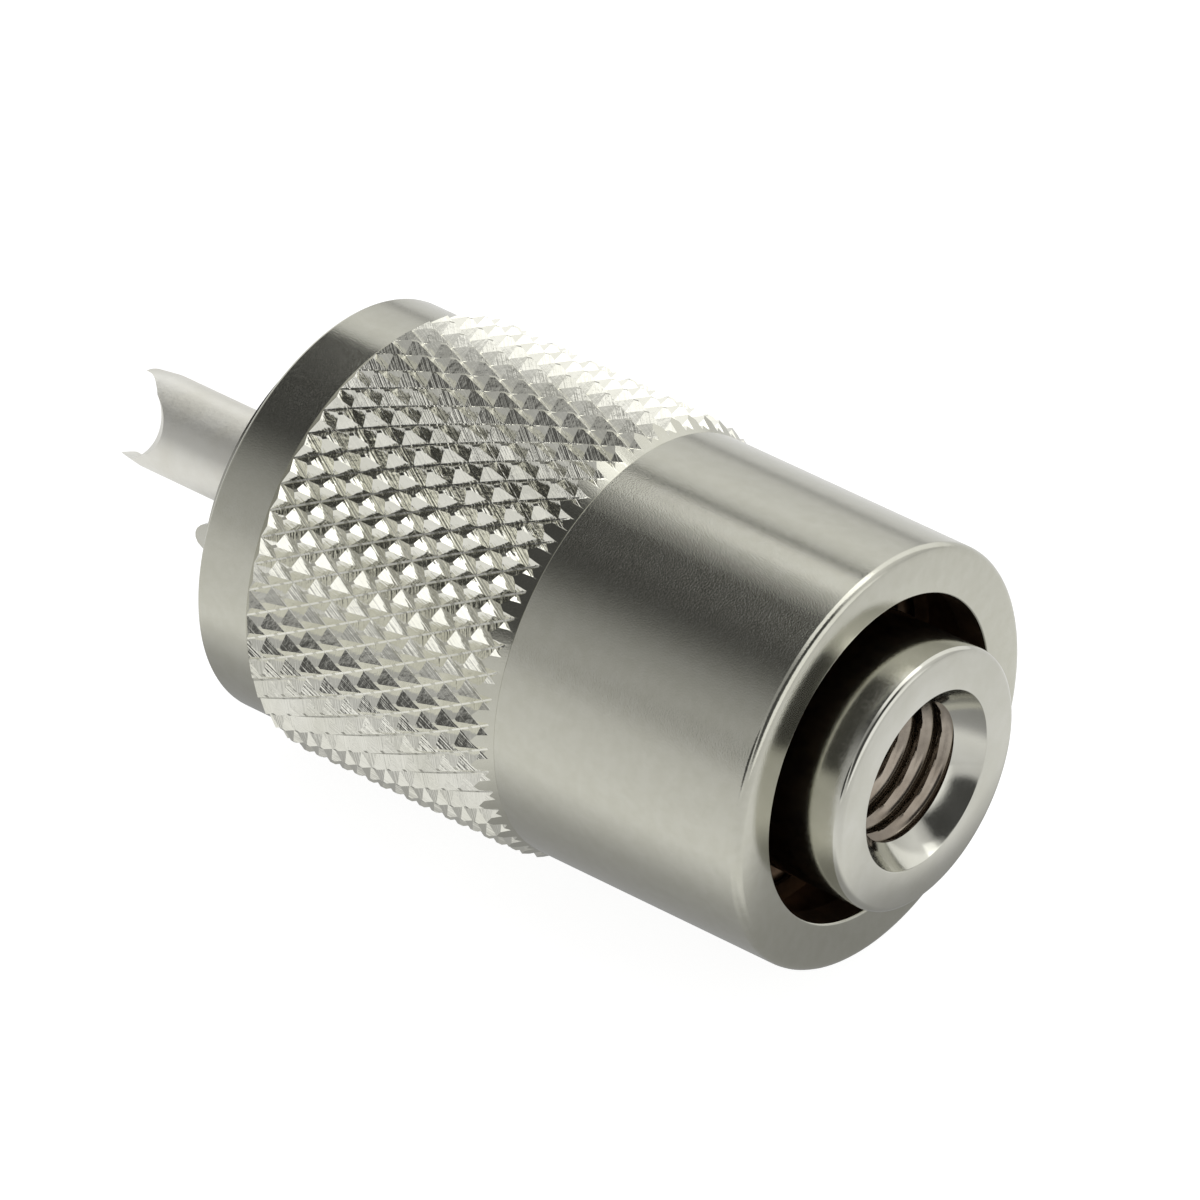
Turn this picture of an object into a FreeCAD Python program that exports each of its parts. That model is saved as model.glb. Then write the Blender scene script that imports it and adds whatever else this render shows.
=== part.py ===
"""Plug with a knurled coupling nut for coaxial cable.

Four pieces: a turned coupling nut with a diamond knurl, a turned plug body
with a toothed contact rim, an insulator disc and a hollow centre pin.
+Z runs along the plug's axis towards the pin. The origin is the centre of the
body's rear face, where the cable goes in. Millimetres.
"""

import FreeCAD, Part
import Sketcher
import math
import os

from FreeCAD import Vector

doc = FreeCAD.newDocument("CoaxialPlug")
sheet = doc.addObject("Spreadsheet::Sheet", "Sizes")

# Every size that can be set by itself, once. Radii and lengths in millimetres.
SIZES = [
    # plug body, from the cable end
    ("nose_radius", 5.5),
    ("nose_edge_break", 0.25),
    ("mouth_radius", 3.76),
    ("mouth_depth", 0.97),
    ("cable_bore_radius", 2.93),
    ("cable_bore_length", 13.0),
    ("passage_radius", 2.7),
    ("barrel_radius", 7.1),
    ("barrel_edge_break", 0.2),
    ("body_length", 30.32),
    ("rim_wall", 1.3),
    ("tooth_height", 0.65),
    ("tooth_width", 1.2),
    ("tooth_first_angle", 15.0),
    ("quarter_turn", 90.0),
    # insulator
    ("insulator_recess", 3.1),
    ("insulator_thickness", 6.0),
    # centre pin
    ("pin_radius", 1.98),
    ("pin_bore_radius", 1.5),
    ("pin_reach", 12.3),
    ("pin_nose_radius", 1.82),
    ("pin_nose_length", 1.1),
    ("shank_radius", 2.15),
    ("collar_radius", 2.5),
    ("collar_length", 1.0),
    ("notch_radius", 1.76),
    ("notch_offset", 0.33),
    ("notch_flare", 1.6),
    ("notch_angle", -62.0),
    # coupling nut, from its rear face
    ("nut_back_off", 2.27),
    ("nut_length", 27.0),
    ("lip_catch", 0.28),
    ("lip_thickness", 1.3),
    ("nut_edge_break", 0.4),
    ("nut_edge_corner", 0.12),
    ("relief_depth", 0.7),
    ("relief_length", 2.6),
    ("nut_travel", 9.5),
    ("barrel_clearance", 0.25),
    ("thread_entry", 0.6),
    ("nut_wall", 0.81),
    ("sleeve_length", 11.97),
    ("band_step", 0.16),
    ("band_length", 2.5),
    ("band_edge_break", 0.15),
    # diamond knurl
    ("knurl_rise", 0.44),
    ("knurl_depth", 0.38),
    ("knurl_count", 50),
    ("knurl_row_pitch", 0.973),
    ("knurl_row_phase", 0.33),
    ("knurl_turn_phase", 2.3),
    ("knurl_rear_chamfer", 0.62),
    ("knurl_front_chamfer", 0.6),
    ("knurl_wall_overlap", 0.3),
]
size = {}
for line, (alias, value) in enumerate(SIZES, start=1):
    sheet.set("A%d" % line, alias)
    sheet.set("B%d" % line, str(value))
    sheet.setAlias("B%d" % line, alias)
    size[alias] = float(value)
doc.recompute()


def reckon(formula):
    """The value of a sum of sizes, such as "nut_length - 2 * lip_thickness"."""
    total = 0.0
    factor = 1.0
    for word in formula.split():
        if word in ("+", "-"):
            factor = 1.0 if word == "+" else -1.0
        elif word in size:
            total += factor * size[word]
        elif word != "*":
            factor *= float(word)
    return total


def bound(formula):
    """The same sum, written for the document's expressions."""
    return " ".join("Sizes." + word if word in size else word for word in formula.split())


def bind(thing, **formulas):
    """Tie properties of a document object to sums of sizes."""
    for name, formula in formulas.items():
        thing.setExpression(name, bound(formula))
    return thing


def plane(body, role):
    """One of the body's own origin planes."""
    return [f for f in body.Origin.OriginFeatures if f.Role == role][0]


def turned(label, outline):
    """A body turned about Z from a closed outline of (radius, height) sums."""
    body = doc.addObject("PartDesign::Body", label)
    sketch = body.newObject("Sketcher::SketchObject", label + "_outline")
    sketch.AttachmentSupport = [(plane(body, "XZ_Plane"), "")]
    sketch.MapMode = "FlatFace"
    corners = [Vector(reckon(r), reckon(z), 0) for r, z in outline]
    count = len(corners)
    for index in range(count):
        start = corners[index]
        end = corners[(index + 1) % count]
        sketch.addGeometry(Part.LineSegment(start, end), False)
    for index in range(count):
        joined = (index + 1) % count
        sketch.addConstraint(Sketcher.Constraint("Coincident", index, 2, joined, 1))
    for index, (r, z) in enumerate(outline):
        across = Sketcher.Constraint("DistanceX", -1, 1, index, 1, corners[index].x)
        sketch.setExpression("Constraints[%d]" % sketch.addConstraint(across), bound(r))
        up = Sketcher.Constraint("DistanceY", -1, 1, index, 1, corners[index].y)
        sketch.setExpression("Constraints[%d]" % sketch.addConstraint(up), bound(z))
    turn = body.newObject("PartDesign::Revolution", label + "_turning")
    turn.Profile = sketch
    turn.ReferenceAxis = (sketch, ["V_Axis"])
    turn.Angle = 360
    doc.recompute()
    return body


def ring_edges(shape, radius, height):
    """The names of the circular edges of this radius at this height."""
    names = []
    for index, edge in enumerate(shape.Edges, start=1):
        circle = edge.Curve
        if not isinstance(circle, Part.Circle):
            continue
        if abs(circle.Radius - radius) < 1e-4 and abs(circle.Center.z - height) < 1e-4:
            names.append("Edge%d" % index)
    return names


def chamfer(body, amount, radius, height):
    """Chamfer the body's turned edge at this radius and height by this size."""
    base = body.Tip
    feature = body.newObject("PartDesign::Chamfer", "%s_%s" % (body.Name, amount))
    feature.Base = (base, ring_edges(base.Shape, reckon(radius), reckon(height)))
    feature.setExpression("Size", bound(amount))
    body.Tip = feature
    doc.recompute()


# Heights that several pieces share.
BASE = "0 * body_length"
TOP = "body_length"
SEAT = "body_length - insulator_recess - insulator_thickness"
FACE = "body_length - insulator_recess"
PIN_END = FACE + " + pin_reach"
REAR = "nut_back_off"
STEP = "nut_back_off + sleeve_length"
FRONT = "nut_back_off + nut_length"
KNURL_END = FRONT + " - band_length"
LIP_TOP = "nut_back_off + lip_thickness"
NOTCH_HEIGHT = PIN_END + " - notch_offset"

# Radii that follow from the barrel's, outwards through the nut's wall.
RIM_BORE = "barrel_radius - rim_wall"
LIP_BORE = "barrel_radius - lip_catch"
CREST = "barrel_radius + barrel_clearance"
RELIEF = CREST + " + relief_depth"
SLEEVE = RELIEF + " + nut_wall"
BAND = SLEEVE + " - band_step"
PEAK = SLEEVE + " + knurl_rise"
ROOT = PEAK + " - knurl_depth"


# Plug body: one turned piece. The nose is the rear end, where the cable screws
# in. The barrel fills the nut, and its front rim bears on the mating socket.
# The barrel's rear shoulder stops the nut's lip when the nut is run forward.
SHOULDER = LIP_TOP + " + nut_travel"
body_turned = turned(
    "plug_body_turned",
    [
        ("mouth_radius", BASE),
        ("nose_radius", BASE),
        ("nose_radius", SHOULDER),
        ("barrel_radius", SHOULDER),
        ("barrel_radius", TOP),
        (RIM_BORE, TOP),
        (RIM_BORE, SEAT),
        ("passage_radius", SEAT),
        ("passage_radius", "mouth_depth + cable_bore_length"),
        ("cable_bore_radius", "mouth_depth + cable_bore_length"),
        ("cable_bore_radius", "mouth_depth"),
    ],
)
chamfer(body_turned, "nose_edge_break", "nose_radius", BASE)
chamfer(body_turned, "barrel_edge_break", "barrel_radius", SHOULDER)

# Teeth on the contact rim: round-topped bumps, as wide as the rim's wall. Each
# bar runs right across and past the rim, and leaves two opposite ones.
rim_outer = bind(
    doc.addObject("Part::Cylinder", "rim_outer"),
    Radius="barrel_radius",
    Height="tooth_width + tooth_height",
)
rim_inner = bind(
    doc.addObject("Part::Cylinder", "rim_inner"),
    Radius=RIM_BORE,
    Height="tooth_width + tooth_height",
)
for cylinder in (rim_outer, rim_inner):
    bind(cylinder, **{".Placement.Base.z": TOP + " - tooth_width"})
rim_band = doc.addObject("Part::Cut", "rim_band")
rim_band.Base = rim_outer
rim_band.Tool = rim_inner
bars = []
for number in range(2):
    bar = bind(
        doc.addObject("Part::Cylinder", "tooth_bar_%d" % (number + 1)),
        Radius="0.5 * tooth_width",
        Height="3 * barrel_radius",
    )
    turn = "tooth_first_angle" if number == 0 else "tooth_first_angle + quarter_turn"
    across = math.radians(reckon(turn))
    reach = Vector(math.cos(across), math.sin(across), 0)
    bar.Placement.Rotation = FreeCAD.Rotation(Vector(0, 0, 1), reach)
    bar.Placement.Base = reach * reckon("-1.5 * barrel_radius")
    bind(bar, **{".Placement.Base.z": TOP + " + tooth_height - 0.5 * tooth_width"})
    bars.append(bar)
tooth_bars = doc.addObject("Part::MultiFuse", "tooth_bars")
tooth_bars.Shapes = bars
teeth = doc.addObject("Part::MultiCommon", "rim_teeth")
teeth.Shapes = [rim_band, tooth_bars]
plug_body = doc.addObject("Part::MultiFuse", "plug_body")
plug_body.Shapes = [body_turned, teeth]
plug_body.Refine = True

# Insulator: a disc pressed into the rim, set back from it. Its hole takes the
# pin's shank.
insulator = turned(
    "insulator",
    [
        ("shank_radius", SEAT),
        (RIM_BORE, SEAT),
        (RIM_BORE, FACE),
        ("shank_radius", FACE),
    ],
)

# Centre pin: a hollow turned tube. A collar behind the insulator and a thicker
# shank through it hold it. The open end is notched crosswise into two prongs,
# and the notch's edges flare outwards.
pin_turned = turned(
    "centre_pin_turned",
    [
        ("pin_bore_radius", SEAT + " - collar_length"),
        ("collar_radius", SEAT + " - collar_length"),
        ("collar_radius", SEAT),
        ("shank_radius", SEAT),
        ("shank_radius", FACE),
        ("pin_radius", FACE),
        ("pin_radius", PIN_END + " - pin_nose_length"),
        ("pin_nose_radius", PIN_END),
        ("pin_bore_radius", PIN_END),
    ],
)
notch_parts = [
    bind(
        doc.addObject("Part::Cylinder", "notch_middle"),
        Radius="notch_radius",
        Height="4 * pin_radius",
    )
]
for number in range(2):
    notch_parts.append(
        bind(
            doc.addObject("Part::Cone", "notch_flare_%d" % (number + 1)),
            Radius1="notch_radius",
            Radius2="notch_radius + notch_flare",
            Height="notch_flare",
        )
    )
notch_turn = math.radians(reckon("notch_angle"))
notch_way = Vector(math.cos(notch_turn), math.sin(notch_turn), 0)
for piece, way, start in zip(
    notch_parts,
    (notch_way, notch_way, notch_way * -1),
    ("-2 * pin_radius", "pin_bore_radius", "pin_bore_radius"),
):
    piece.Placement.Rotation = FreeCAD.Rotation(Vector(0, 0, 1), way)
    piece.Placement.Base = way * reckon(start)
    bind(piece, **{".Placement.Base.z": NOTCH_HEIGHT})
notch = doc.addObject("Part::MultiFuse", "notch")
notch.Shapes = notch_parts
centre_pin = doc.addObject("Part::Cut", "centre_pin")
centre_pin.Base = pin_turned
centre_pin.Tool = notch

# Coupling nut: turned, with a lip at the rear that the body's shoulder stops,
# a relief behind the thread and a plain bore at the thread's crests. Two
# narrow cones ease its rear edge.
KNURL_CORE = ROOT + " - knurl_wall_overlap"
nut_blank = turned(
    "nut_blank",
    [
        (LIP_BORE, REAR),
        (SLEEVE + " - nut_edge_break", REAR),
        (SLEEVE + " - nut_edge_corner", REAR + " + nut_edge_corner"),
        (SLEEVE, REAR + " + nut_edge_break"),
        (SLEEVE, STEP),
        (KNURL_CORE, STEP),
        (KNURL_CORE, KNURL_END),
        (BAND, KNURL_END),
        (BAND, FRONT),
        (CREST + " + thread_entry", FRONT),
        (CREST, FRONT + " - thread_entry"),
        (CREST, LIP_TOP + " + relief_length"),
        (RELIEF, LIP_TOP + " + relief_length"),
        (RELIEF, LIP_TOP),
        (LIP_BORE, LIP_TOP),
    ],
)
chamfer(nut_blank, "band_edge_break", BAND, FRONT)


def diamond_knurl():
    """A solid whose skin is the knurl: rows of four-sided pyramids.

    Two sets of grooves cross on the root radius, left and right handed. Their
    crossings lie on every other point of a grid, and the peaks on the others.
    """
    count = int(round(size["knurl_count"]))
    pitch = size["knurl_row_pitch"]
    peak = reckon(PEAK)
    root = reckon(ROOT)
    low = reckon(STEP) - size["knurl_row_phase"] - pitch
    rows = int(math.ceil((reckon(KNURL_END) - low) / pitch)) + 1
    half = math.pi / count

    def point(column, row):
        radius = peak if (column + row) % 2 else root
        angle = column * half + math.radians(size["knurl_turn_phase"])
        return Vector(radius * math.cos(angle), radius * math.sin(angle), low + row * pitch)

    faces = []

    def triangle(a, b, c):
        wire = Part.makePolygon([point(*a), point(*b), point(*c), point(*a)])
        faces.append(Part.Face(wire))

    around = 2 * count
    for row in range(rows + 1):
        for column in range(around):
            if (column + row) % 2 == 0:
                continue
            peak_point = (column, row)
            before = ((column - 1) % around, row)
            after = ((column + 1) % around, row)
            if row < rows:
                above = (column, row + 1)
                triangle(peak_point, after, above)
                triangle(peak_point, above, before)
            if row > 0:
                below = (column, row - 1)
                triangle(peak_point, before, below)
                triangle(peak_point, below, after)
    for row in (0, rows):
        outline = [point(column % around, row) for column in range(around + 1)]
        faces.append(Part.Face(Part.makePolygon(outline)))
    return Part.makeSolid(Part.makeShell(faces))


diamonds = doc.addObject("Part::Feature", "knurl_diamonds")
diamonds.Shape = diamond_knurl()
KNURL_WALL = ROOT + " - 2 * knurl_wall_overlap"
KNURL_CLEAR = PEAK + " + 0.5 * knurl_depth"
knurl_zone = turned(
    "knurl_zone",
    [
        (KNURL_WALL, STEP),
        (SLEEVE, STEP),
        (PEAK, STEP + " + knurl_rear_chamfer"),
        (KNURL_CLEAR, STEP + " + knurl_rear_chamfer"),
        (KNURL_CLEAR, KNURL_END + " - knurl_front_chamfer"),
        (PEAK, KNURL_END + " - knurl_front_chamfer"),
        (BAND, KNURL_END),
        (KNURL_WALL, KNURL_END),
    ],
)
knurl = doc.addObject("Part::MultiCommon", "knurl")
knurl.Shapes = [diamonds, knurl_zone]
coupling_nut = doc.addObject("Part::MultiFuse", "coupling_nut")
coupling_nut.Shapes = [nut_blank, knurl]
doc.recompute()

for thing in doc.Objects:
    if "Invalid" in thing.State or "Error" in thing.State:
        raise RuntimeError("%s didn't build: %s" % (thing.Label, thing.State))

os.makedirs("parts", exist_ok=True)
for piece in (plug_body, insulator, centre_pin, coupling_nut):
    shape = piece.Shape
    if shape.isNull() or not shape.isValid() or len(shape.Solids) != 1:
        raise RuntimeError("%s isn't one sound solid" % piece.Label)
    shape.exportStep("parts/%s.step" % piece.Label)
    print(piece.Label, round(shape.Volume, 3), len(shape.Faces))
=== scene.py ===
"""Looks of the coaxial plug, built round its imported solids. +Z points along the
plug towards the pin. The plug lies on a table whose top faces +X."""

import bmesh
import bpy
import math

from itertools import product
from mathutils import Matrix, Vector


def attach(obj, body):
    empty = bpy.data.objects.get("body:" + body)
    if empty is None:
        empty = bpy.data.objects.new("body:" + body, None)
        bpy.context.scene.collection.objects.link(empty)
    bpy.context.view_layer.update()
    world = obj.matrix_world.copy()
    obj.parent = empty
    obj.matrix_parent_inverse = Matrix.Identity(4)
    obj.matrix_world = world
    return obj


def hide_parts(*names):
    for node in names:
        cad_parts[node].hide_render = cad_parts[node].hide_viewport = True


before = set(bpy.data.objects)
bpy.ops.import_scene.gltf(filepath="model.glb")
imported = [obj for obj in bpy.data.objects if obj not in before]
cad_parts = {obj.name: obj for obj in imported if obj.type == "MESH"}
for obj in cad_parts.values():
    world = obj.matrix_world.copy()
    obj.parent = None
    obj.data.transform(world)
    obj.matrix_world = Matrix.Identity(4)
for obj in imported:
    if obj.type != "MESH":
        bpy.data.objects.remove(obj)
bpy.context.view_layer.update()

# Plug body: one piece of brass, turned from bar, bored through and nickel
# plated. The nose at the rear takes the cable, the barrel fills the nut, and
# four teeth on the front rim bite into the socket.

# Sizes are in mm. Two that are no further apart than CLOSE count as one.
MM = 0.001
CLOSE = 0.001
ARC_STEPS = 5
SHARP_ANGLE = math.radians(32)
FLATNESS_WEIGHT = 80
NOSE_RADIUS = 5.5
NOSE_ROUND = 0.28
MOUTH_RADIUS = 3.76
MOUTH_DEPTH = 0.97
MOUTH_ROUND = 0.05
CABLE_THREAD_CREST = 2.93
CABLE_THREAD_DEPTH = 0.34
CABLE_THREAD_PITCH = 0.95
CABLE_THREAD_FLAT = 0.2
CABLE_THREAD_ROWS = 15
CABLE_THREAD_END = 13.97
PASSAGE_RADIUS = 2.7
BORE_REACH = 3.5
BORE_PLATING = 1
SHOULDER = 13.07
SHOULDER_FOOT_ROUND = 0.1
SHOULDER_ROUND = 0.2
BARREL_RADIUS = 7.1
RIM_BORE_RADIUS = 5.8
INSULATOR_SEAT = 21.22
INSULATOR_FACE = 27.22
BODY_LENGTH = 30.32
BODY_COLUMNS = 240
TEETH = 4
TOOTH_HEIGHT = 0.52
TOOTH_WIDTH = 0.94
TOOTH_FIRST_ANGLE = math.radians(15.0)


def put(name, data):
    """An object in the scene that shows this data."""
    item = bpy.data.objects.new(name, data)
    bpy.context.scene.collection.objects.link(item)
    return item


def piece_of(name, mesh):
    """A piece of a mesh that has just been built, which is then used up."""
    data = bpy.data.meshes.new(name)
    mesh.to_mesh(data)
    mesh.free()
    return put(name, data)


def ring_point(mesh, radius, height, angle):
    """A point of the mesh at a radius and height, in mm, and an angle about Z."""
    x = radius * MM * math.cos(angle)
    y = radius * MM * math.sin(angle)
    return mesh.verts.new((x, y, height * MM))


def turned(name, outline, columns, shape=None):
    """A piece turned about Z from a closed outline of (radius, height), in mm.

    shape moves a point of the outline, given the angle that it is turned to.
    """
    mesh = bmesh.new()
    rings = []
    for radius, height in outline:
        ring = []
        for column in range(columns):
            angle = 2 * math.pi * column / columns
            r, z = shape(radius, height, angle) if shape else (radius, height)
            ring.append(ring_point(mesh, r, z, angle))
        rings.append(ring)
    for row, ring in enumerate(rings):
        following = rings[(row + 1) % len(rings)]
        for column in range(columns):
            after = (column + 1) % columns
            mesh.faces.new((ring[column], ring[after], following[after], following[column]))
    return piece_of(name, mesh)


def rounded(corners):
    """An outline whose corners (radius, height, round) are rounded by arcs."""
    outline = []
    for index, (radius, height, round_radius) in enumerate(corners):
        corner = Vector((radius, height))
        if round_radius == 0:
            outline.append(tuple(corner))
            continue
        back = (Vector(corners[index - 1][:2]) - corner).normalized()
        ahead = (Vector(corners[(index + 1) % len(corners)][:2]) - corner).normalized()
        half = back.angle(ahead) / 2
        inwards = (back + ahead).normalized()
        centre = corner + inwards * (round_radius / math.sin(half))
        spread = math.pi / 2 - half
        side = Vector((-inwards.y, inwards.x))
        if side.dot(back) < 0:
            side = -side
        for step in range(ARC_STEPS + 1):
            turn = spread * (1 - 2 * step / ARC_STEPS)
            way = side * math.sin(turn) - inwards * math.cos(turn)
            outline.append(tuple(centre + round_radius * way))
    return outline


def thread_wave(phase, flat):
    """Depth of a thread with rounded roots, from 0 on its crest to 1 in its root.

    flat is the crest's share of the pitch.
    """
    across = 2 * abs(phase - math.floor(phase) - 0.5)
    down = max(0.0, (across - flat) / (1 - flat))
    return math.sin(down * math.pi / 2)


def thread_points(crest, top, bottom, pitch, rows):
    """Points down a thread's crest from top to bottom, so many rows to a pitch."""
    step = pitch / rows
    return [(crest, top - row * step) for row in range(1, int((top - bottom) / step))]


def finish_mesh(piece):
    """Smooth shading that keeps flats flat and breaks at sharp edges."""
    piece.data.shade_smooth()
    piece.data.set_sharp_from_angle(angle=SHARP_ANGLE)
    weighted = piece.modifiers.new("weighted_normals", "WEIGHTED_NORMAL")
    weighted.keep_sharp = True
    weighted.weight = FLATNESS_WEIGHT


def body_shape(radius, height, angle):
    """The cable thread in the bore and the teeth on the rim."""
    if radius == CABLE_THREAD_CREST and MOUTH_DEPTH < height < CABLE_THREAD_END:
        phase = height / CABLE_THREAD_PITCH - angle / (2 * math.pi)
        run_out = min(1.0, (CABLE_THREAD_END - height) / CABLE_THREAD_PITCH)
        depth = CABLE_THREAD_DEPTH * run_out * thread_wave(phase, CABLE_THREAD_FLAT)
        return radius + depth, height
    if height > BODY_LENGTH - CLOSE:
        apart = 2 * math.pi / TEETH
        off = (angle - TOOTH_FIRST_ANGLE + apart / 2) % apart - apart / 2
        aside = radius * math.sin(off)
        bar = TOOTH_WIDTH / 2
        if abs(aside) < bar:
            return radius, height + TOOTH_HEIGHT - bar + math.sqrt(bar * bar - aside * aside)
    return radius, height


body_outline = rounded(
    [
        (MOUTH_RADIUS, 0, MOUTH_ROUND),
        (NOSE_RADIUS, 0, NOSE_ROUND),
        (NOSE_RADIUS, SHOULDER, SHOULDER_FOOT_ROUND),
        (BARREL_RADIUS, SHOULDER, SHOULDER_ROUND),
        (BARREL_RADIUS, BODY_LENGTH, 0),
        (RIM_BORE_RADIUS, BODY_LENGTH, 0),
        (RIM_BORE_RADIUS, INSULATOR_SEAT, 0),
        (PASSAGE_RADIUS, INSULATOR_SEAT, 0),
        (PASSAGE_RADIUS, CABLE_THREAD_END, 0),
        (CABLE_THREAD_CREST, CABLE_THREAD_END, 0),
    ]
)
body_outline += thread_points(
    CABLE_THREAD_CREST, CABLE_THREAD_END, MOUTH_DEPTH, CABLE_THREAD_PITCH, CABLE_THREAD_ROWS
)
body_outline.append((CABLE_THREAD_CREST, MOUTH_DEPTH))
plug_body = turned("turned_body", body_outline, BODY_COLUMNS, body_shape)
# Faces down the bore take the brown plating, which is darker with painted shade.
for face in plug_body.data.polygons:
    if face.center.xy.length < BORE_REACH * MM and face.center.z > MOUTH_DEPTH * MM:
        face.material_index = BORE_PLATING
finish_mesh(plug_body)


def srgb(code):
    """An sRGB hex colour as the linear colour that shaders take."""
    parts = [int(code[i : i + 2], 16) / 255 for i in (0, 2, 4)]
    return [p / 12.92 if p <= 0.04045 else ((p + 0.055) / 1.055) ** 2.4 for p in parts] + [1.0]


def cleared_tree(shaded):
    """The node tree of a material or a world, with nothing in it."""
    shaded.use_nodes = True
    shaded.node_tree.nodes.clear()
    return shaded.node_tree


def add(tree, kind, inputs=None, **settings):
    """Add a shader node with its settings. An input is a value, or a socket to link."""
    node = tree.nodes.new(kind)
    for name, value in settings.items():
        setattr(node, name, value)
    for name, value in (inputs or {}).items():
        if isinstance(value, bpy.types.NodeSocket):
            tree.links.new(value, node.inputs[name])
        else:
            node.inputs[name].default_value = value
    return node


def ramp(tree, factor, stops):
    """The colours along a ramp with these stops of (position, colour)."""
    node = add(tree, "ShaderNodeValToRGB", {"Fac": factor})
    elements = node.color_ramp.elements
    while len(elements) < len(stops):
        elements.new(1.0)
    for element, (position, colour) in zip(elements, stops):
        element.position = position
        element.color = colour
    return node.outputs["Color"]


def mottle(tree, where, size_mm, detail, roughness):
    """A pattern from 0 to 1 whose features are this many mm across."""
    inputs = {"Vector": where, "Scale": 1 / (size_mm * MM), "Detail": detail, "Roughness": roughness}
    return add(tree, "ShaderNodeTexNoise", inputs).outputs["Fac"]


def plated_metal(name, light, dark, roughness, grain_mm, grain_height_mm, blotch_mm=2.5, relief=None):
    """Plating over turned brass: a metal whose grain and tone vary a little.

    relief adds a pattern of its own to the normal that the grain gives.
    """
    material = bpy.data.materials.new(name)
    tree = cleared_tree(material)
    where = add(tree, "ShaderNodeTexCoord").outputs["Object"]
    blotches = mottle(tree, where, blotch_mm, detail=3.0, roughness=0.6)
    tone = ramp(tree, blotches, [(0.35, srgb(dark)), (0.65, srgb(light))])
    grain = mottle(tree, where, grain_mm, detail=2.0, roughness=0.5)
    rough = add(
        tree,
        "ShaderNodeMapRange",
        {"Value": grain, "From Min": 0.3, "From Max": 0.7, "To Min": roughness[0], "To Max": roughness[1]},
    )
    bump = add(
        tree,
        "ShaderNodeBump",
        {"Height": grain, "Strength": 1.0, "Distance": grain_height_mm * MM},
    )
    normal = bump.outputs["Normal"]
    if relief:
        normal = relief(tree, where, normal)
    metal = add(
        tree,
        "ShaderNodeBsdfPrincipled",
        {"Base Color": tone, "Metallic": 1.0, "Roughness": rough.outputs["Result"], "Normal": normal},
    )
    add(tree, "ShaderNodeOutputMaterial", {"Surface": metal.outputs["BSDF"]})
    return material


# Bright nickel over brass: a mirror with a faint warm cast and a soft edge.
body_nickel = plated_metal(
    "bright_nickel_on_brass",
    light="d0cfc6",
    dark="c8c7bc",
    roughness=(0.10, 0.16),
    grain_mm=0.12,
    grain_height_mm=0.0008,
)

# Down the bore the plating is thin, and the brass under it makes it brown; it is also made darker as
# painted shade in the bore.
bore_nickel = plated_metal(
    "brown_bore_plating_with_painted_shade",
    light="a89f93",
    dark="8a8074",
    roughness=(0.15, 0.22),
    grain_mm=0.15,
    grain_height_mm=0.001,
)
for nickel in (body_nickel, bore_nickel):
    plug_body.data.materials.append(nickel)
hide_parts("plug_body")
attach(plug_body, "plug")

# Insulator: a white moulded disc, pressed into the rim up to its seat. Its
# hole grips the shank of the centre pin.

SHANK_RADIUS = 2.15
INSULATOR_ROUND = 0.15
INSULATOR_COLUMNS = 144
insulator_outline = rounded(
    [
        (SHANK_RADIUS, INSULATOR_SEAT, 0),
        (RIM_BORE_RADIUS, INSULATOR_SEAT, INSULATOR_ROUND),
        (RIM_BORE_RADIUS, INSULATOR_FACE, INSULATOR_ROUND),
        (SHANK_RADIUS, INSULATOR_FACE, 0),
    ]
)
insulator = turned("pressed_insulator", insulator_outline, INSULATOR_COLUMNS)
finish_mesh(insulator)

# Moulded white acetal: slightly waxy, with a faint flow pattern in its gloss.
acetal = bpy.data.materials.new("moulded_white_acetal")
acetal_tree = cleared_tree(acetal)
acetal_where = add(acetal_tree, "ShaderNodeTexCoord").outputs["Object"]
flow = mottle(acetal_tree, acetal_where, size_mm=1.5, detail=4.0, roughness=0.5)
flow_gloss = add(acetal_tree, "ShaderNodeMapRange", {"Value": flow, "To Min": 0.35, "To Max": 0.5})
flow_tone = ramp(acetal_tree, flow, [(0.0, srgb("dedbd3")), (1.0, srgb("e6e4dd"))])
acetal_surface = add(
    acetal_tree,
    "ShaderNodeBsdfPrincipled",
    {"Base Color": flow_tone, "Roughness": flow_gloss.outputs["Result"], "IOR": 1.48,
     "Subsurface Weight": 0.1, "Subsurface Radius": (0.4 * MM, 0.35 * MM, 0.3 * MM)},
)
add(acetal_tree, "ShaderNodeOutputMaterial", {"Surface": acetal_surface.outputs["BSDF"]})
insulator.data.materials.append(acetal)
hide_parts("insulator")
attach(insulator, "plug")

# Centre pin: a hollow tube turned from brass and silver plated. A collar and a
# shank hold it in the insulator. A cutter run across its open end leaves two
# prongs.

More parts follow.
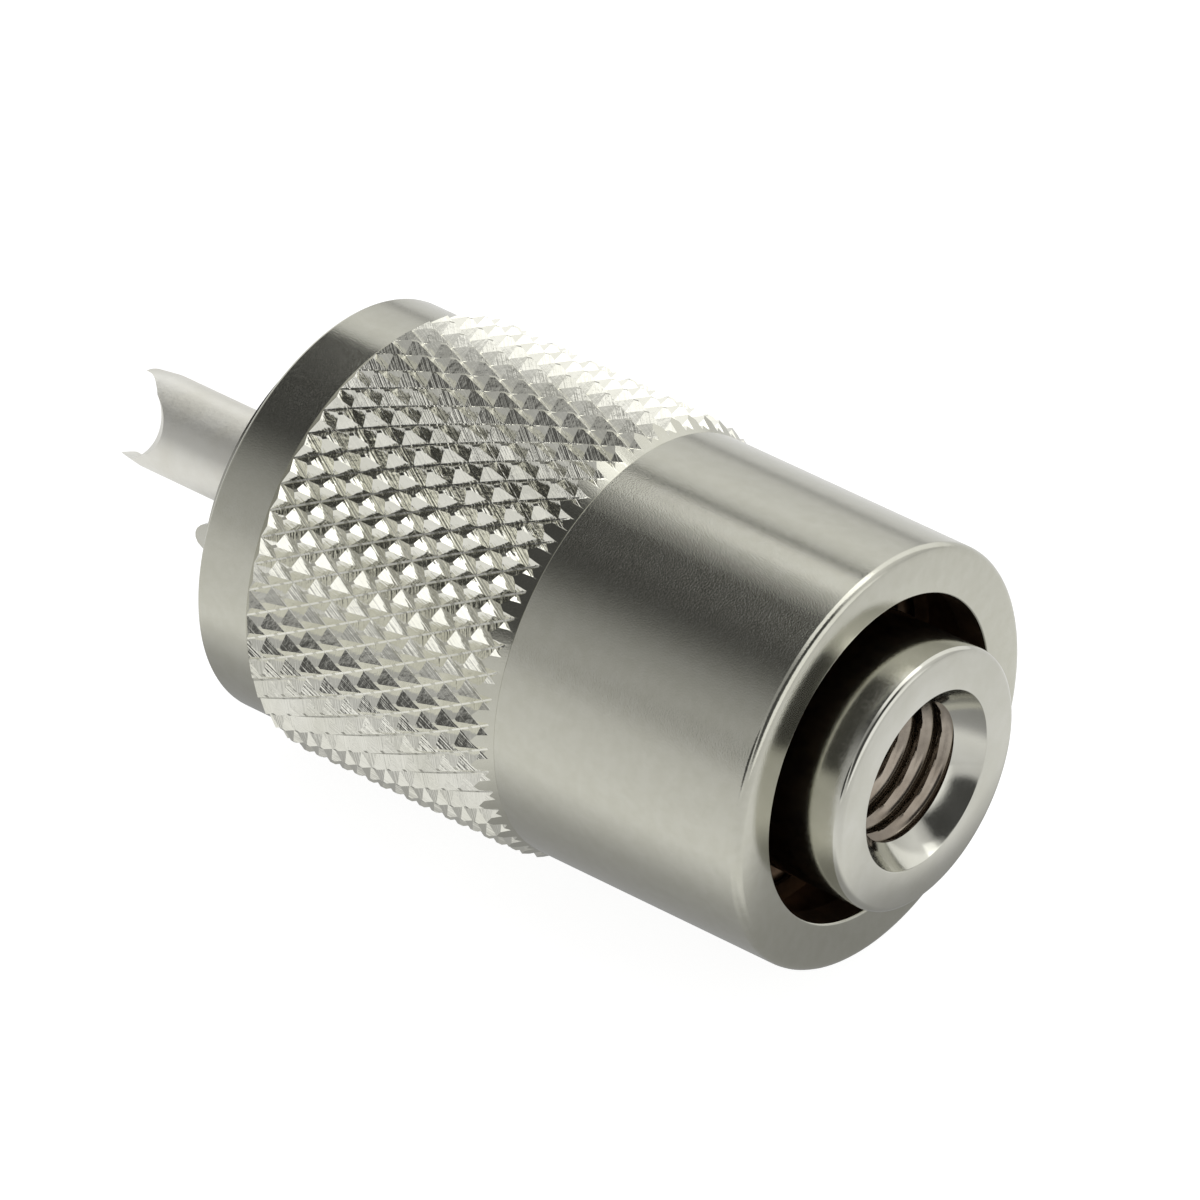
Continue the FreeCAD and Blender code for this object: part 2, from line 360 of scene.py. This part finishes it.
PIN_RADIUS = 1.98
PIN_BORE_RADIUS = 1.5
PIN_BORE_ROUND = 0.05
PIN_END = 39.52
PIN_NOSE_RADIUS = 1.82
PIN_NOSE_LENGTH = 1.1
PIN_NOSE_ROUND = 0.1
PIN_NOSE_BEND = 2.0
PIN_COLUMNS = 160
COLLAR_RADIUS = 2.5
COLLAR_LENGTH = 1.0
COLLAR_ROUND = 0.1
NOTCH_RADIUS = 1.76
NOTCH_OFFSET = 0.33
NOTCH_ANGLE = math.radians(-62.0)
NOTCH_REACH = 2 * PIN_RADIUS
WELD_GAP = 0.0001
pin_outline = rounded(
    [
        (PIN_BORE_RADIUS, INSULATOR_SEAT - COLLAR_LENGTH, 0),
        (COLLAR_RADIUS, INSULATOR_SEAT - COLLAR_LENGTH, COLLAR_ROUND),
        (COLLAR_RADIUS, INSULATOR_SEAT, COLLAR_ROUND),
        (SHANK_RADIUS, INSULATOR_SEAT, 0),
        (SHANK_RADIUS, INSULATOR_FACE, 0),
        (PIN_RADIUS, INSULATOR_FACE, 0),
        (PIN_RADIUS, PIN_END - PIN_NOSE_LENGTH, PIN_NOSE_BEND),
        (PIN_NOSE_RADIUS, PIN_END, PIN_NOSE_ROUND),
        (PIN_BORE_RADIUS, PIN_END, PIN_BORE_ROUND),
    ]
)
centre_pin = turned("hollow_pin", pin_outline, PIN_COLUMNS)

# The cutter is a cylinder across the pin, wider past the pin's wall.
notch_mouth = NOTCH_RADIUS + NOTCH_REACH - PIN_BORE_RADIUS
notch_outline = [
    (0.0, -NOTCH_REACH),
    (notch_mouth, -NOTCH_REACH),
    (NOTCH_RADIUS, -PIN_BORE_RADIUS),
    (NOTCH_RADIUS, PIN_BORE_RADIUS),
    (notch_mouth, NOTCH_REACH),
    (0.0, NOTCH_REACH),
]
notch_cutter = turned("notch_cutter", notch_outline, PIN_COLUMNS)
notch_way = Vector((math.cos(NOTCH_ANGLE), math.sin(NOTCH_ANGLE), 0))
notch_turn = Vector((0, 0, 1)).rotation_difference(notch_way).to_matrix().to_4x4()
notch_place = Matrix.Translation((0, 0, (PIN_END - NOTCH_OFFSET) * MM))
notch_cutter.data.transform(notch_place @ notch_turn)


def weld(piece):
    """Merge points that lie together and turn all faces outwards."""
    mesh = bmesh.new()
    mesh.from_mesh(piece.data)
    bmesh.ops.remove_doubles(mesh, verts=mesh.verts, dist=WELD_GAP * MM)
    bmesh.ops.recalc_face_normals(mesh, faces=mesh.faces)
    mesh.to_mesh(piece.data)
    mesh.free()


def combine(piece, other, operation):
    """Cut, join or intersect piece with other, which is then used up."""
    step = piece.modifiers.new("combine", "BOOLEAN")
    step.operation = operation
    step.solver = "EXACT"
    step.object = other
    bpy.context.view_layer.update()
    combined = piece.evaluated_get(bpy.context.evaluated_depsgraph_get())
    made = bpy.data.meshes.new_from_object(combined)
    piece.modifiers.clear()
    piece.data = made
    bpy.data.objects.remove(other)


weld(notch_cutter)
combine(centre_pin, notch_cutter, "DIFFERENCE")
finish_mesh(centre_pin)

# Silver over brass: matt and white, a little yellowed.
pin_silver = plated_metal(
    "matt_silver_on_brass",
    light="eeede6",
    dark="e4e2d8",
    roughness=(0.36, 0.46),
    grain_mm=0.1,
    grain_height_mm=0.0015,
)
centre_pin.data.materials.append(pin_silver)
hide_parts("centre_pin")
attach(centre_pin, "plug")

# Coupling nut: a turned brass sleeve that spins on the body. Its front half is
# diamond knurled by two sets of crossing grooves and is threaded inside. Its
# rear half is smooth, and a lip there catches the body's shoulder.

NUT_REAR = 2.27
NUT_LENGTH = 27.0
NUT_REAR_ROUND = 0.36
NUT_COLUMNS = 192
SLEEVE_RADIUS = 8.86
SLEEVE_LENGTH = 11.97
SLEEVE_FRONT_ROUND = 0.07
BAND_RADIUS = 8.7
BAND_LENGTH = 2.5
BAND_ROUND = 0.15
LIP_BORE_RADIUS = 6.82
LIP_BORE_ROUND = 0.12
LIP_THICKNESS = 1.3
RELIEF_RADIUS = 8.05
RELIEF_LENGTH = 2.6
THREAD_CREST = 7.35
THREAD_DEPTH = 0.6
THREAD_PITCH = 1.058
THREAD_FLAT = 0.12
THREAD_ROWS = 8
THREAD_ENTRY = 0.6
THREAD_ENTRY_ROUND = 0.05
THIN_PLATING_AND_PAINTED_SHADE_FROM = 0.5
SATIN_PLATING = 0
FLANK_PLATING = 1
INSIDE_PLATING = 2
STEP = NUT_REAR + SLEEVE_LENGTH
FRONT = NUT_REAR + NUT_LENGTH
KNURL_END = FRONT - BAND_LENGTH
THREAD_START = NUT_REAR + LIP_THICKNESS + RELIEF_LENGTH
THREAD_END = FRONT - THREAD_ENTRY
KNURL_PEAK = 9.28
KNURL_DEPTH = 0.4
KNURL_COUNT = 50
KNURL_ROW_PITCH = 0.973
KNURL_ROW_PHASE = 0.33
KNURL_TURN_PHASE = math.radians(2.3)
KNURL_FOOT_RADIUS = 8.7
KNURL_REAR_CHAMFER = 0.88
KNURL_FRONT_CHAMFER = 0.6
KNURL_CORE = 8.4
KNURL_BITE = 0.1
KNURL_FOOT_BITE = 0.05
KNURL_ZONE_COLUMNS = 400


def nut_shape(radius, height, angle):
    """The coupling thread, run out at its start."""
    if radius == THREAD_CREST and THREAD_START < height < THREAD_END:
        phase = height / THREAD_PITCH - angle / (2 * math.pi)
        run_out = min(1.0, (height - THREAD_START) / THREAD_PITCH)
        return radius + THREAD_DEPTH * run_out * thread_wave(phase, THREAD_FLAT), height
    return radius, height


nut_outline = rounded(
    [
        (RELIEF_RADIUS, THREAD_START, 0),
        (RELIEF_RADIUS, NUT_REAR + LIP_THICKNESS, 0),
        (LIP_BORE_RADIUS, NUT_REAR + LIP_THICKNESS, 0),
        (LIP_BORE_RADIUS, NUT_REAR, LIP_BORE_ROUND),
        (SLEEVE_RADIUS, NUT_REAR, NUT_REAR_ROUND),
        (SLEEVE_RADIUS, STEP, SLEEVE_FRONT_ROUND),
        (KNURL_CORE + KNURL_BITE, STEP, 0),
        (KNURL_CORE + KNURL_BITE, KNURL_END, 0),
        (BAND_RADIUS, KNURL_END, 0),
        (BAND_RADIUS, FRONT, BAND_ROUND),
        (THREAD_CREST + THREAD_ENTRY, FRONT, THREAD_ENTRY_ROUND),
        (THREAD_CREST, THREAD_END, 0),
    ]
)
nut_outline += thread_points(THREAD_CREST, THREAD_END, THREAD_START, THREAD_PITCH, THREAD_ROWS)
coupling_nut = turned("knurled_nut", nut_outline, NUT_COLUMNS, nut_shape)

# The zone that the knurl fills: an undercut at its rear, a chamfer at its front.
zone_outline = [
    (KNURL_CORE, STEP - KNURL_FOOT_BITE),
    (KNURL_FOOT_RADIUS, STEP - KNURL_FOOT_BITE),
    (KNURL_PEAK, STEP + KNURL_REAR_CHAMFER),
    (KNURL_PEAK + KNURL_DEPTH, STEP + KNURL_REAR_CHAMFER),
    (KNURL_PEAK + KNURL_DEPTH, KNURL_END - KNURL_FRONT_CHAMFER),
    (KNURL_PEAK, KNURL_END - KNURL_FRONT_CHAMFER),
    (BAND_RADIUS, KNURL_END),
    (KNURL_CORE, KNURL_END),
]
knurl_zone = turned("knurl_zone", zone_outline, KNURL_ZONE_COLUMNS)

# The knurl's grooves follow the lines where across or along is whole. Each
# cell between them is a pyramid with steep sides, a flat top and flat floors.
ACROSS_LINES = (-0.04, 0.04, 0.44, 0.56)
ALONG_LINES = (-0.012, 0.012, 0.41, 0.59)
LINE_HEIGHTS = (0, 0, 1, 1)
SPARE_ROWS_BELOW = 2
SPARE_ROWS_ABOVE = 3


def knurl_skin(name):
    """A ring whose outside is the diamond pattern and whose inside is plain."""
    low = STEP - KNURL_ROW_PHASE - KNURL_ROW_PITCH
    mesh = bmesh.new()
    found = {}
    lines = len(LINE_HEIGHTS)
    round_trip = KNURL_COUNT * lines

    def point(i, j, outside):
        turns = j // round_trip
        key = (i - turns * round_trip, j - turns * round_trip, outside)
        if key not in found:
            across = key[0] // lines + ACROSS_LINES[key[0] % lines]
            along = key[1] // lines + ALONG_LINES[key[1] % lines]
            angle = math.pi * (across + along) / KNURL_COUNT + KNURL_TURN_PHASE
            z = low + (across - along) * KNURL_ROW_PITCH
            r = KNURL_CORE - KNURL_BITE
            if outside:
                rise = min(LINE_HEIGHTS[key[0] % lines], LINE_HEIGHTS[key[1] % lines])
                r = KNURL_PEAK - KNURL_DEPTH * (1 - rise)
            found[key] = ring_point(mesh, r, z, angle)
        return found[key]

    rows = math.ceil((KNURL_END - low) / KNURL_ROW_PITCH) + SPARE_ROWS_ABOVE
    cells = product(range(KNURL_COUNT), range(-SPARE_ROWS_BELOW, rows))
    for (cell, row), a, b in product(cells, range(lines), range(lines)):
        i = (cell + row) * lines + a
        j = cell * lines + b
        square = [(i, j), (i + 1, j), (i + 1, j + 1), (i, j + 1)]
        # Where two flanks meet, the square is split along the edge between them.
        if a % 2 and b % 2 and a != b:
            square = square[1:] + square[:1]
        first, second, third, fourth = square
        # Odd strips of a cell lie between a floor and a top.
        flank = a % 2 or b % 2
        for outside in (True, False):
            for corners in ((first, second, third), (first, third, fourth)):
                face = mesh.faces.new([point(*c, outside) for c in corners])
                face.material_index = FLANK_PLATING if outside and flank else SATIN_PLATING
    partner = {outer: found[(i, j, False)] for (i, j, outside), outer in found.items() if outside}
    for edge in [e for e in mesh.edges if len(e.link_faces) == 1]:
        start, end = edge.verts
        if start in partner and end in partner:
            mesh.faces.new((start, end, partner[end], partner[start]))
    bmesh.ops.recalc_face_normals(mesh, faces=mesh.faces)
    return piece_of(name, mesh)


knurl = knurl_skin("knurl")
# Faces inside the nut take the brown plating, which is darker with painted shade.
for face in coupling_nut.data.polygons:
    within = face.center.xy.length < (RELIEF_RADIUS + CLOSE) * MM
    if within and face.center.z > (NUT_REAR + THIN_PLATING_AND_PAINTED_SHADE_FROM) * MM:
        face.material_index = INSIDE_PLATING

# Fine lines that the knurling wheels leave down the flanks.
STREAKS_A_CELL = 9
STREAK_HEIGHT = 0.011


def reckon(tree, operation, *values):
    """The result of a sum, product or the like of sockets and numbers."""
    return add(tree, "ShaderNodeMath", dict(enumerate(values)), operation=operation).outputs[0]


def knurl_streaks(tree, where, normal):
    """Streaks that run along one set of the knurl's grooves."""
    parts = add(tree, "ShaderNodeSeparateXYZ", {"Vector": where}).outputs
    angle = reckon(tree, "ARCTAN2", parts["Y"], parts["X"])
    cells = reckon(tree, "MULTIPLY", angle, KNURL_COUNT / (2 * math.pi))
    along = reckon(tree, "MULTIPLY_ADD", parts["Z"], -1 / (2 * KNURL_ROW_PITCH * MM), cells)
    streaks = add(
        tree,
        "ShaderNodeTexNoise",
        {"W": along, "Scale": STREAKS_A_CELL, "Detail": 2.0, "Roughness": 0.6},
        noise_dimensions="1D",
    )
    bump = add(
        tree,
        "ShaderNodeBump",
        {"Height": streaks.outputs[0], "Strength": 1.0, "Distance": STREAK_HEIGHT * MM,
         "Normal": normal},
    )
    return bump.outputs["Normal"]


# Satin nickel over brass on all turned surfaces: it blurs what it reflects a
# little and shows a fine grain where light meets dark.
satin_nickel = plated_metal(
    "satin_nickel_on_brass",
    light="c9c8bc",
    dark="c5c4b7",
    roughness=(0.13, 0.18),
    grain_mm=0.07,
    grain_height_mm=0.003,
    blotch_mm=0.6,
)

# The flanks of the knurl, burnished by the rolls that pressed them: brighter than the satin round them,
# partly from the burnish and partly as painted sheen, with streaks along one set of grooves.
flank_nickel = plated_metal(
    "burnished_nickel_with_painted_sheen",
    # Painted sheen: a lighter base than the satin's, so the flanks mirror brighter.
    light="eeede3",
    dark="e4e3d7",
    roughness=(0.06, 0.1),
    grain_mm=0.24,
    grain_height_mm=0.01,
    relief=knurl_streaks,
)

# Inside the nut the plating is thin and the brass under it makes it brown; it is darker still as painted
# shade in the nut's hollow.
inside_nickel = plated_metal(
    "brown_nut_inside_plating_with_painted_shade",
    light="8a7460",
    dark="5e4e40",
    roughness=(0.3, 0.4),
    grain_mm=0.15,
    grain_height_mm=0.002,
)

for piece in (knurl, knurl_zone, coupling_nut):
    for nickel in (satin_nickel, flank_nickel, inside_nickel):
        piece.data.materials.append(nickel)
weld(coupling_nut)
weld(knurl_zone)
combine(knurl, knurl_zone, "INTERSECT")
combine(coupling_nut, knurl, "UNION")
finish_mesh(coupling_nut)
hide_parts("coupling_nut")
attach(coupling_nut, "nut")

# Studio: a white table under the plug, a pale room with a strip light, and a
# camera with a long lens that looks down on the cable end.

TABLE_HEIGHT = -9.3
TABLE_SIZE = 3000
PLUG_MIDDLE = 17
END_SPEED = 2.5
PAPER_REACH = 300
# Levels of the painted glow and painted shadow of the paper, by mm from the plug.
PAINTED_PAPER_SHADE_LEVELS = [
    (0, 0.33), (8, 0.38), (10.5, 0.45), (14, 0.7), (18, 0.92),
    (24, 0.9), (36, 0.84), (60, 0.8), (300, 0.72),
]
table_mesh = bmesh.new()
half_table = TABLE_SIZE / 2
table_corners = []
for y, z in ((-1, -1), (1, -1), (1, 1), (-1, 1)):
    corner = Vector((TABLE_HEIGHT, y * half_table, z * half_table)) * MM
    table_corners.append(table_mesh.verts.new(corner))
table_mesh.faces.new(table_corners)
table = piece_of("table", table_mesh)


def grey(level):
    """A colour of this level, linear, as shaders take it."""
    return (level, level, level, 1.0)


# White table paper: plain white with a faint shadow where it is looked at. What
# the metal mirrors of it is a painted glow with a painted shadow: dim close by the
# plug, which keeps the light off it, and brightest a plug's width away. It has no underside.
table_paper = bpy.data.materials.new("white_table_paper")
paper_tree = cleared_tree(table_paper)
paper_point = add(paper_tree, "ShaderNodeNewGeometry").outputs
paper_parts = add(paper_tree, "ShaderNodeSeparateXYZ", {"Vector": paper_point["Position"]}).outputs
from_middle = reckon(paper_tree, "SUBTRACT", paper_parts["Z"], PLUG_MIDDLE * MM)
to_middle = reckon(paper_tree, "ABSOLUTE", from_middle)
past_end = reckon(paper_tree, "SUBTRACT", to_middle, PLUG_MIDDLE * MM)
past_fast = reckon(paper_tree, "MULTIPLY", past_end, END_SPEED)
beyond = reckon(paper_tree, "MAXIMUM", past_fast, 0.0)
sideways = add(paper_tree, "ShaderNodeCombineXYZ", {"X": paper_parts["Y"], "Y": beyond})
from_plug = add(paper_tree, "ShaderNodeVectorMath", {0: sideways.outputs["Vector"]}, operation="LENGTH")
reach = reckon(paper_tree, "MULTIPLY", from_plug.outputs["Value"], 1 / (PAPER_REACH * MM))
painted_shade_stops = [(distance / PAPER_REACH, grey(level)) for distance, level in PAINTED_PAPER_SHADE_LEVELS]
painted_paper_shade = ramp(paper_tree, reach, painted_shade_stops)
# Painted shadow and glow of the paper, as the metal mirrors it.
mirrored_painted_paper = add(paper_tree, "ShaderNodeEmission", {"Color": painted_paper_shade, "Strength": 1.0})
shaded_paper = add(paper_tree, "ShaderNodeBsdfDiffuse", {"Color": srgb("a0a0a0")})
glow = add(paper_tree, "ShaderNodeEmission", {"Color": grey(1.0), "Strength": 0.9})
seen_paper = add(
    paper_tree,
    "ShaderNodeAddShader",
    {0: shaded_paper.outputs["BSDF"], 1: glow.outputs["Emission"]},
)
paper_path = add(paper_tree, "ShaderNodeLightPath").outputs
front_side = add(
    paper_tree,
    "ShaderNodeMixShader",
    {"Fac": paper_path["Is Camera Ray"], 1: mirrored_painted_paper.outputs["Emission"],
     2: seen_paper.outputs["Shader"]},
)
clear = add(paper_tree, "ShaderNodeBsdfTransparent")
one_sided = add(
    paper_tree,
    "ShaderNodeMixShader",
    {"Fac": paper_point["Backfacing"], 1: front_side.outputs["Shader"], 2: clear.outputs["BSDF"]},
)
add(paper_tree, "ShaderNodeOutputMaterial", {"Surface": one_sided.outputs["Shader"]})
table.data.materials.append(table_paper)

# Pale room: its light and dark bands run along the plug, so each is a row of
# (degrees round the plug from -Y over the top, level). The smooth sleeve mirrors
# the first row, ahead of it. The knurl's flanks and the nose mirror the others,
# and a dark stand and a dark corner give the flanks their black glints.
AHEAD_BANDS = [
    (-180, 0.55), (-90, 0.5), (0, 0.72), (9, 0.6), (25, 0.49), (41, 0.36),
    (49, 0.25), (57, 0.13), (66, 0.06), (84, 0.04), (131, 0.05), (134, 0.68),
    (146, 0.9), (162, 0.78), (170, 0.74), (176, 0.5), (179, 0.3),
]
BESIDE_BANDS = [
    (-180, 0.6), (-90, 0.8), (-58, 1.0), (0, 0.95), (12, 0.62), (20, 1.0),
    (26, 0.95), (38, 0.42), (64, 0.36), (72, 0.54), (80, 1.1), (90, 1.25),
    (124, 1.22), (146, 1.2), (178, 1.0),
]
FAR_END_BANDS = [
    (-180, 0.6), (0, 0.58), (36, 0.46), (60, 0.4), (80, 0.44), (92, 0.52),
    (116, 0.75), (130, 1.1), (178, 1.1),
]
CABLE_END_BANDS = [
    (-180, 0.6), (-90, 0.7), (0, 0.8), (19, 0.6), (30, 0.08), (102, 0.06),
    (112, 0.6), (130, 0.9), (178, 0.6),
]
AHEAD_TO_BESIDE = (0.48, 0.36)
AHEAD_TO_FAR_END = (0.6, 0.72)
BESIDE_TO_CABLE_END = (-0.24, -0.33)
CABLE_END_TO_CAP = (-0.7, -0.82)
CAP_LEVEL = 1.2
DARK_STAND = Vector((0.287, -0.937, 0.2))
DARK_STAND_EDGE = (0.955, 0.975)
DARK_STAND_LEVEL = 0.06
DARK_CORNER = Vector((0.589, -0.626, -0.511))
DARK_CORNER_EDGE = (0.88, 0.95)
DARK_CORNER_LEVEL = 0.08
COLOUR_UNDER = 6
COLOUR_OVER = 7
COLOUR_MIXED = 2
world = bpy.data.worlds.new("pale_room")
bpy.context.scene.world = world
room_tree = cleared_tree(world)
room_way = add(room_tree, "ShaderNodeTexCoord").outputs["Generated"]
room_parts = add(room_tree, "ShaderNodeSeparateXYZ", {"Vector": room_way}).outputs
minus_y = reckon(room_tree, "MULTIPLY", room_parts["Y"], -1.0)
height_angle = reckon(room_tree, "ARCTAN2", room_parts["X"], minus_y)
round_angle = add(
    room_tree,
    "ShaderNodeMapRange",
    {"Value": height_angle, "From Min": -math.pi, "From Max": math.pi},
)


def banded(bands):
    """The room's tones by the angle round the plug."""
    stops = [((degrees + 180) / 360, grey(level)) for degrees, level in bands]
    return ramp(room_tree, round_angle.outputs["Result"], stops)


def faded(value, edge):
    """A share that goes from 0 to 1 as the value goes from one end of edge to the other."""
    node = add(
        room_tree,
        "ShaderNodeMapRange",
        {"Value": value, "From Min": edge[0], "From Max": edge[1]},
        interpolation_type="SMOOTHSTEP",
    )
    return node.outputs["Result"]


def near(way, edge):
    """A share that is 1 in this direction and fades out round it."""
    inputs = {0: room_way, 1: way}
    node = add(room_tree, "ShaderNodeVectorMath", inputs, operation="DOT_PRODUCT")
    return faded(node.outputs["Value"], edge)


room_layers = [
    (faded(room_parts["Z"], AHEAD_TO_BESIDE), banded(BESIDE_BANDS)),
    (faded(room_parts["Z"], AHEAD_TO_FAR_END), banded(FAR_END_BANDS)),
    (faded(room_parts["Z"], BESIDE_TO_CABLE_END), banded(CABLE_END_BANDS)),
    (near(DARK_STAND, DARK_STAND_EDGE), grey(DARK_STAND_LEVEL)),
    (near(DARK_CORNER, DARK_CORNER_EDGE), grey(DARK_CORNER_LEVEL)),
    (faded(room_parts["Z"], CABLE_END_TO_CAP), grey(CAP_LEVEL)),
]
room_tone = banded(AHEAD_BANDS)
for share, layer in room_layers:
    inputs = {"Factor": share, COLOUR_UNDER: room_tone, COLOUR_OVER: layer}
    mixed = add(room_tree, "ShaderNodeMix", inputs, data_type="RGBA")
    room_tone = mixed.outputs[COLOUR_MIXED]
room_light = add(room_tree, "ShaderNodeBackground", {"Color": room_tone, "Strength": 1.0})
room_white = add(room_tree, "ShaderNodeBackground", {"Color": grey(1.0), "Strength": 1.0})
room_path = add(room_tree, "ShaderNodeLightPath").outputs
room = add(
    room_tree,
    "ShaderNodeMixShader",
    {"Fac": room_path["Is Camera Ray"], 1: room_light.outputs["Background"],
     2: room_white.outputs["Background"]},
)
add(room_tree, "ShaderNodeOutputWorld", {"Surface": room.outputs["Shader"]})

# Strip light: it runs along the plug, high up behind it, and its lower edge is
# soft. Each part is (first degrees round the plug, last degrees, level).
STRIP_DISTANCE = 150
STRIP_LENGTH = 170
STRIP_END = 104
STRIP_PARTS = [(96, 103, 0.2), (103, 110, 0.45), (110, 125.5, 0.88)]
for first_angle, last_angle, strip_level in STRIP_PARTS:
    strip = put("strip_light", bpy.data.lights.new("strip_light", "AREA"))
    strip_angle = math.radians((first_angle + last_angle) / 2)
    strip_width = 2 * STRIP_DISTANCE * math.tan(math.radians((last_angle - first_angle) / 2))
    strip.data.shape = "RECTANGLE"
    strip.data.size = STRIP_LENGTH * MM
    strip.data.size_y = strip_width * MM
    strip.data.energy = strip_level * math.pi * strip.data.size * strip.data.size_y
    strip_way = Vector((math.sin(strip_angle), -math.cos(strip_angle), 0))
    strip_along = Vector((0, 0, 1))
    strip_place = strip_way * STRIP_DISTANCE + strip_along * (STRIP_END - STRIP_LENGTH / 2)
    strip_axes = Matrix((strip_along, strip_way.cross(strip_along), strip_way)).transposed()
    strip.matrix_world = Matrix.Translation(strip_place * MM) @ strip_axes.to_4x4()
    strip.visible_camera = False

# Camera: half a metre away, above the cable end and to one side of it.
CAMERA_ABOVE = math.radians(36.09)
CAMERA_ROUND = math.radians(39.203)
CAMERA_ROLL = math.radians(-0.485)
CAMERA_DISTANCE = 565.23
CAMERA_AIM = Vector((0, 0, 14.27))
CAMERA_OFF = (-1.425, 1.726)
FOCAL_LENGTH = 436.97
SENSOR_WIDTH = 36
NEAREST_SEEN = 10
FARTHEST_SEEN = 20000
back = Vector(
    (
        math.sin(CAMERA_ABOVE),
        -math.cos(CAMERA_ABOVE) * math.cos(CAMERA_ROUND),
        -math.cos(CAMERA_ABOVE) * math.sin(CAMERA_ROUND),
    )
)
level = Vector((0, math.sin(CAMERA_ROUND), -math.cos(CAMERA_ROUND)))
upright = back.cross(level)
right = level * math.cos(CAMERA_ROLL) + upright * math.sin(CAMERA_ROLL)
up = upright * math.cos(CAMERA_ROLL) - level * math.sin(CAMERA_ROLL)
spot = CAMERA_AIM + back * CAMERA_DISTANCE + right * CAMERA_OFF[0] + up * CAMERA_OFF[1]
camera = put("camera", bpy.data.cameras.new("camera"))
camera.data.lens = FOCAL_LENGTH
camera.data.sensor_width = SENSOR_WIDTH
camera.data.clip_start = NEAREST_SEEN * MM
camera.data.clip_end = FARTHEST_SEEN * MM
camera.matrix_world = Matrix.Translation(spot * MM) @ Matrix((right, up, back)).transposed().to_4x4()
bpy.context.scene.camera = camera
bpy.context.scene.view_settings.view_transform = "Standard"
